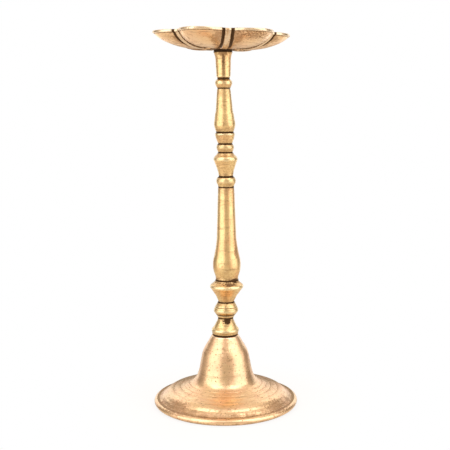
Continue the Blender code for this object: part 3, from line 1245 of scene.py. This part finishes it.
@dataclass(frozen=True)
class PetalDish:
    """The cast dish: a shallow bowl drawn out into pointed petals, with a threaded stud below.

    A raised rib of even width runs down the outside at each notch, between two grooves.
    """

    node: str = "petal_dish"
    petals: int = 6
    rib_azimuth: float = math.radians(-83.3)
    notch: float = 0.252
    rim_radius: float = 53.0
    plain_radius: float = 9.0
    rib_half_width: float = 2.2
    rib_height: float = 0.9
    groove_width: float = 1.9
    groove_depth: float = 0.7
    crease_depth: float = 0.35
    stud_length: float = 10.9
    inside: Knots = (
        (13.3, 52.6), (12.9, 52.1), (8.0, 45.2, 0.05), (2.6, 22.4, 0.06), (2.6, 0.0))
    outside: Knots = (
        (13.25, 53.8), (13.0, 54.1), (11.5, 54.3), (11.0, 53.0, 0.05), (4.9, 43.1, 0.05), (0.6, 22.0),
        (0.0, 9.0), (0.0, 3.5))
    lean_right: float = math.radians(1.5)
    lean_back: float = math.radians(0.8)
    off_centre: float = -1.2
    half_columns: int = 42
    crowding: float = 1.5
    lip: Feel = Feel(0.7, 0.12)
    lip_foot: float = 11.0
    spots: tuple[Spot, ...] = (
        # Painted shade: the first and third spots darken either side of the front rib.
        Spot((10.5, -38.0, 293.5), (4.5, 9.0, 7.0), 0.6, 2.6),
        Spot((22.0, -37.0, 296.0), (13.0, 12.0, 3.4), 0.78, 3.8),
        Spot((-4.5, -40.0, 293.0), (4.5, 9.0, 7.0), 0.6, 2.6),
        Spot((-30.0, -26.0, 294.0), (4.0, 9.0, 4.0), 0.5, 1.8),
    )

    def azimuths(self) -> np.ndarray:
        """Angles of the columns, closer together near each rib: a power of the even share.

        Returns:
            The angles in radians, once round.
        """
        half = math.pi / self.petals
        share = (np.arange(self.half_columns + 1) / self.half_columns) ** self.crowding * half
        one = np.concatenate([share[:-1], 2 * half - share[:0:-1]])
        return (self.rib_azimuth + one + 2 * half * np.arange(self.petals)[:, None]).reshape(-1)

    def petal(self, points: np.ndarray, azimuth: np.ndarray) -> tuple[np.ndarray, ...]:
        """Draws a round bowl out into petals.

        The radius shrinks towards each rib by the notch's share times 0.4 t + 0.6 t squared, with t 0
        at a petal's tip and 1 at a rib, and the shrinking grows from the plain middle to the rim.

        Args:
            points: Rises and radii of the round bowl.
            azimuth: Angles of the columns.

        Returns:
            Rises and radii by row and column, and the distance from the nearest rib's line.
        """
        half = math.pi / self.petals
        turn = np.mod(azimuth - self.rib_azimuth, 2 * half)
        from_rib = np.minimum(turn, 2 * half - turn)
        to_rib = 1 - from_rib / half
        radius = points[:, 1:]
        share = self.off_middle(radius) * np.minimum(1, radius / self.rim_radius)
        drawn = radius * (1 - self.notch * (0.4 * to_rib + 0.6 * to_rib ** 2) * share)
        uneven = 0.12 * swell(azimuth, walked(points)[:, None], seed_of(self.node))
        return points[:, :1] + uneven * share, drawn, drawn * np.sin(from_rib)

    def off_middle(self, radius: np.ndarray) -> np.ndarray:
        """0 in the plain middle of the bowl, rising in a line to 1 at twice its radius."""
        return np.clip(radius / self.plain_radius - 1, 0, 1)

    def relief(self, beside: np.ndarray) -> np.ndarray:
        """Height of rib and grooves over the wall by the distance from the rib's line.

        Args:
            beside: Distance of each point from the nearest rib's line, in millimetres.

        Returns:
            The height at each point, in millimetres.
        """
        edge, foot = self.rib_half_width, self.rib_half_width + self.groove_width
        rib = self.rib_height * (1 - 0.1 * (beside / edge) ** 2)
        rib = rib * (1 - smooth(beside, edge - 0.25, edge + 0.4))
        groove = smooth(beside, edge, edge + 0.5) * (1 - smooth(beside, foot, foot + 1.2))
        return rib - self.groove_depth * groove

    def tilt(self, grid: np.ndarray, seat: float) -> np.ndarray:
        """Sets the bowl a little out of level and off centre on its seat, growing from the stud out.

        Args:
            grid: Places by row and column, in metres.
            seat: Height of the seat in metres.

        Returns:
            The tilted places.
        """
        x, y, z = grid[..., 0], grid[..., 1], grid[..., 2] - seat
        right, back = math.sin(self.lean_right), math.sin(self.lean_back)
        share = smooth(np.hypot(x, y), 6.0 * MM, 13.0 * MM)
        return np.stack([
            x + share * (z * right + self.off_centre * MM),
            y + share * z * back,
            seat + z + share * (-x * right - y * back)], axis=-1)

    def build(self) -> bpy.types.Object:
        """The finished dish in its place.

        Returns:
            The piece's object.
        """
        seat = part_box(self.node)[0].z + self.stud_length * MM
        azimuth = self.azimuths()
        inner = ease(walk(self.inside, 1.8), 0.4)[::-1]
        outer = ease(walk(self.outside, 0.9), 0.18)
        in_rise, in_radius, in_beside = self.petal(inner, azimuth)
        rise, radius, beside = self.petal(outer, azimuth)
        in_rise = in_rise - self.crease_depth * self.crease(inner, in_beside)
        relief = self.relief(beside) * self.off_middle(outer[:, 1:])
        steep = smooth(outer[:, 1:], 20.0, 50.0)
        radius, rise = radius + relief * steep, rise - relief * (1 - steep)

        stud_rise, stud_radius = self.stud(azimuth)
        rises = np.vstack([in_rise, rise, stud_rise])
        radii = np.vstack([in_radius, radius, stud_radius])
        grid = np.stack([radii * np.cos(azimuth) * MM, radii * np.sin(azimuth) * MM, rises * MM + seat], -1)
        marks = self.marks(inner, outer, in_beside, beside, np.ones_like(stud_radius))
        piece = Surface(self.tilt(grid, seat), marks).build(f"cast_{self.node}")
        return mount(piece, self.node, CAST.material("cast_brass_dish", self.spots, 0.45))

    def crease(self, inner: np.ndarray, beside: np.ndarray) -> np.ndarray:
        """The crease inside the bowl at each rib, a bell curve across it: 1 in its bottom."""
        return np.exp(-((beside / 1.1) ** 2)) * self.off_middle(inner[:, 1:])

    def marks(
            self, inner: np.ndarray, outer: np.ndarray, in_beside: np.ndarray, beside: np.ndarray,
            stud: np.ndarray) -> dict[Mark, np.ndarray]:
        """The dish's marks: deposits in creases and grooves, painted shade under the lip and round the stud's
        root, wear on lip and ribs.

        Args:
            inner: Rises and radii of the inside.
            outer: Rises and radii of the outside.
            in_beside: Distance of each inside point from the nearest rib's line.
            beside: The same outside.
            stud: Ones, for each point of the stud.

        Returns:
            Each mark by row and column.
        """
        edge, width, radius = self.rib_half_width, self.groove_width, outer[:, 1:]
        reach, in_ones = self.off_middle(radius), np.ones_like(in_beside)
        middle = edge + 0.35 + width / 2
        groove = (1 - smooth(np.abs(beside - middle), width * 0.4, width * 0.95)) * reach
        # Painted shade: a dark line just under the overhanging lip.
        shade_under_lip = 0.62 * np.exp(-(((outer[:, :1] - self.lip_foot) / 0.35) ** 2))
        # Painted shade: a dark ring round the root of the stud, where the dish meets the neck.
        root = np.exp(-((radius - 10.0) / 5.0) ** 2)
        near = np.exp(-((beside / 8.5) ** 2)) * reach
        crest = (1 - smooth(beside, edge - 0.7, edge + 0.1)) * reach
        lip = self.lip.share(outer, len(outer))
        in_lip = np.exp(-((inner[-1, 1] - inner[:, 1:]) / 0.8)) * in_ones
        in_root = np.exp(-((inner[:, 1:] - 22.5) / 1.2) ** 2) * in_ones
        in_near = np.exp(-((in_beside / 6.0) ** 2))
        way_in, way_out = walked(inner)[:, None], walked(outer)[:, None]
        return {
            Mark.RECESS: np.vstack([
                np.maximum(self.crease(inner, in_beside) * 0.62, in_root * 0.5),
                np.maximum(np.maximum(groove * 0.85, shade_under_lip), root * 0.6), stud * 0.45]),
            Mark.WEAR: np.vstack([in_lip, np.maximum(lip, crest * 0.8), 0 * stud]),
            Mark.GRIME: np.vstack([0.35 + 0.6 * in_near, np.maximum(near, root), stud]),
            Mark.ALONG: np.vstack([way_in * in_ones, way_in[-1] + way_out + 0 * beside, stud]),
        }

    def stud(self, azimuth: np.ndarray) -> tuple[np.ndarray, np.ndarray]:
        """The threaded stud under the dish, from its root to the axis at its end.

        Args:
            azimuth: Angles of the columns.

        Returns:
            Rises and radii by row and column, in millimetres.
        """
        down = np.append(np.arange(0.3, self.stud_length, THREAD.lead / 9), self.stud_length)[:, None]
        rise = -down + 0 * azimuth
        chamfered = THREAD.outer - THREAD.chamfer + (self.stud_length - down)
        fade = smooth(down, 0.3, 1.2)
        radius = np.minimum(THREAD.radius(rise, azimuth), chamfered) * fade + THREAD.outer * (1 - fade)
        end = np.full((1, len(azimuth)), -self.stud_length)
        return np.vstack([rise, end]), np.vstack([radius, 0 * end])


# ---------------------------------------------------------------- studio


@dataclass(frozen=True)
class SoftBox:
    """A soft studio light: where it stands round the object, its size in metres and its brightness."""

    name: str
    azimuth: float
    elevation: float
    width: float
    height: float
    brightness: float
    distance: float = 1.1

    def build(self, centre: np.ndarray) -> None:
        """Sets the light up, facing the centre. Azimuth 0 is the side that faces the camera.

        Args:
            centre: The middle of the object.
        """
        turn, lift = math.radians(self.azimuth), math.radians(self.elevation)
        way = np.array([math.sin(turn) * math.cos(lift), -math.cos(turn) * math.cos(lift), math.sin(lift)])
        light = bpy.data.lights.new(self.name, "AREA")
        light.shape = "RECTANGLE"
        light.size, light.size_y = self.width, self.height
        light.energy = self.brightness * math.pi * self.width * self.height
        lamp = bpy.data.objects.new(self.name, light)
        lamp.location = centre + way * self.distance
        lamp.rotation_euler = (math.pi / 2 - lift, 0, turn)
        lamp.visible_camera = False
        bpy.context.scene.collection.objects.link(lamp)


@dataclass(frozen=True)
class Studio:
    """A plain pale floor, plain soft light from both sides and pale surroundings."""

    boxes: tuple[SoftBox, ...] = (
        SoftBox("left_soft_box", -56.0, 12.0, 1.4, 1.2, 1.22),
        SoftBox("right_soft_box", 66.0, 12.0, 1.2, 1.2, 1.2),
        SoftBox("left_top_soft_box", -48.0, 55.0, 0.7, 0.6, 1.7),
        SoftBox("right_top_soft_box", 48.0, 55.0, 0.7, 0.6, 2.0),
        SoftBox("back_left_soft_box", -150.0, 12.0, 0.6, 1.2, 1.0),
        SoftBox("back_right_soft_box", 150.0, 12.0, 0.6, 1.2, 1.0),
    )
    floor_radius: float = 6.0
    floor_rings: int = 24
    floor_drop: float = 0.1
    shade_reach: float = 0.13
    shade: float = 0.16
    front: float = 0.68
    rear: float = 0.26
    ceiling: float = 0.98
    warmth: Colour = (1.0, 0.88, 0.72)

    def build(self) -> None:
        """Sets up floor, surroundings and lights."""
        low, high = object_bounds()
        centre = (np.array(low) + np.array(high)) / 2
        self.floor(low.z)
        self.surroundings()
        for box in self.boxes:
            box.build(centre)
        log.info("studio with %d soft boxes", len(self.boxes))

    def floor(self, height: float) -> None:
        """A round floor: a grid of rings whose radii grow by a power, white far from the object.

        Args:
            height: Height of the lowest point of the object, in metres.
        """
        ring = (np.arange(self.floor_rings + 1) / self.floor_rings)[:, None] ** 3 * self.floor_radius
        azimuth = angles(96)
        drop = np.full((len(ring), len(azimuth)), height - self.floor_drop * MM)
        grid = np.stack([ring * np.cos(azimuth), ring * np.sin(azimuth), drop], -1)
        floor = Surface(grid, {}).build("floor")
        made, tree, point = new_material("white_floor")
        far = tree.step(tree.length(point), self.shade_reach * 0.45 / MM, self.shade_reach / MM)
        matt = tree.node("ShaderNodeBsdfDiffuse", {"Color": (0.82, 0.81, 0.8, 1)})
        glow = tree.node("ShaderNodeEmission", {"Color": (1, 1, 1, 1), "Strength": 1.0})
        own = tree.math("MULTIPLY_ADD", far, self.shade, 1 - self.shade)
        lit = tree.node("ShaderNodeMixShader", {0: own, 1: matt.outputs[0], 2: glow.outputs[0]})
        behind = tree.node("ShaderNodeNewGeometry", {}).outputs["Backfacing"]
        clear = tree.node("ShaderNodeBsdfTransparent", {})
        both = tree.node("ShaderNodeMixShader", {0: behind, 1: lit.outputs[0], 2: clear.outputs[0]})
        tree.node("ShaderNodeOutputMaterial", {"Surface": both.outputs[0]})
        floor.data.materials.append(made)
        floor.visible_glossy = floor.visible_diffuse = floor.visible_shadow = False
        floor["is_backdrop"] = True

    def surroundings(self) -> None:
        """White behind the object, and round it a pale floor and ceiling with dimmer walls between.

        The ceiling has a dim gap over the camera.
        """
        world = bpy.data.worlds.new("studio")
        world.use_nodes = True
        bpy.context.scene.world = world
        tree = Tree(world.node_tree)
        way = tree.node("ShaderNodeTexCoord", {}).outputs["Generated"]
        parts = tree.node("ShaderNodeSeparateXYZ", {0: way}).outputs
        behind = tree.step(parts["Y"], -0.1, 0.75)
        below = tree.math("SUBTRACT", 1.0, tree.step(parts["Z"], -0.45, -0.05))
        aside = tree.step(tree.math("ABSOLUTE", parts["X"]), 0.08, 0.4)
        gap = tree.math("MULTIPLY", tree.math("SUBTRACT", 1.0, aside), tree.step(parts["Y"], 0.05, -0.3))
        above = tree.math("MULTIPLY", tree.step(parts["Z"], 0.3, 0.8), tree.math("SUBTRACT", 1.0, gap))
        glow = tree.add(self.front, behind, self.rear - self.front)
        flat = tree.math("MAXIMUM", below, above)
        brighter = tree.math("SUBTRACT", self.ceiling, glow)
        glow = tree.math("MULTIPLY_ADD", flat, brighter, glow)
        seen = tree.node("ShaderNodeLightPath", {}).outputs["Is Camera Ray"]
        plain = tree.node("ShaderNodeBackground", {"Color": (1, 1, 1, 1), "Strength": 1.0})
        round_it = tree.node("ShaderNodeBackground", {"Color": (*self.warmth, 1), "Strength": glow})
        both = tree.node("ShaderNodeMixShader", {0: seen, 1: round_it.outputs[0], 2: plain.outputs[0]})
        tree.node("ShaderNodeOutputWorld", {"Surface": both.outputs[0]})


@dataclass(frozen=True)
class Camera:
    """The camera in front of the stand, a little below the dish, looking down a little."""

    lens: float = 72.0
    sensor: float = 36.0
    distance: float = 0.7184
    height: float = 0.2473
    pitch: float = 7.9
    roll: float = -0.45
    shift: float = 0.0014

    def build(self) -> None:
        """Sets the camera up. A roll turns it about its own line of sight."""
        data = bpy.data.cameras.new("camera")
        data.lens, data.sensor_width, data.shift_x = self.lens, self.sensor, self.shift
        camera = bpy.data.objects.new("camera", data)
        camera.location = (0.0, -self.distance, self.height)
        camera.rotation_mode = "QUATERNION"
        lifted = Euler((math.radians(90 - self.pitch), 0, 0)).to_matrix()
        rolled = Euler((0, 0, math.radians(self.roll))).to_matrix()
        camera.rotation_quaternion = (lifted @ rolled).to_quaternion()
        bpy.context.scene.collection.objects.link(camera)
        bpy.context.scene.camera = camera
        bpy.context.scene.view_settings.view_transform = "Standard"


def main() -> None:
    """Builds every piece in order, top to bottom, then the studio."""
    logging.basicConfig(level=logging.INFO, format="%(name)s: %(message)s")
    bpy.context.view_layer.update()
    PetalDish().build()
    Washer("dish_washer").build()
    STEM.build()
    TieRod().build(STEM.bend)
    Washer("foot_washer").build()
    BellFoot().build()
    Studio().build()
    Camera().build()


if __name__ == "__main__":
    main()
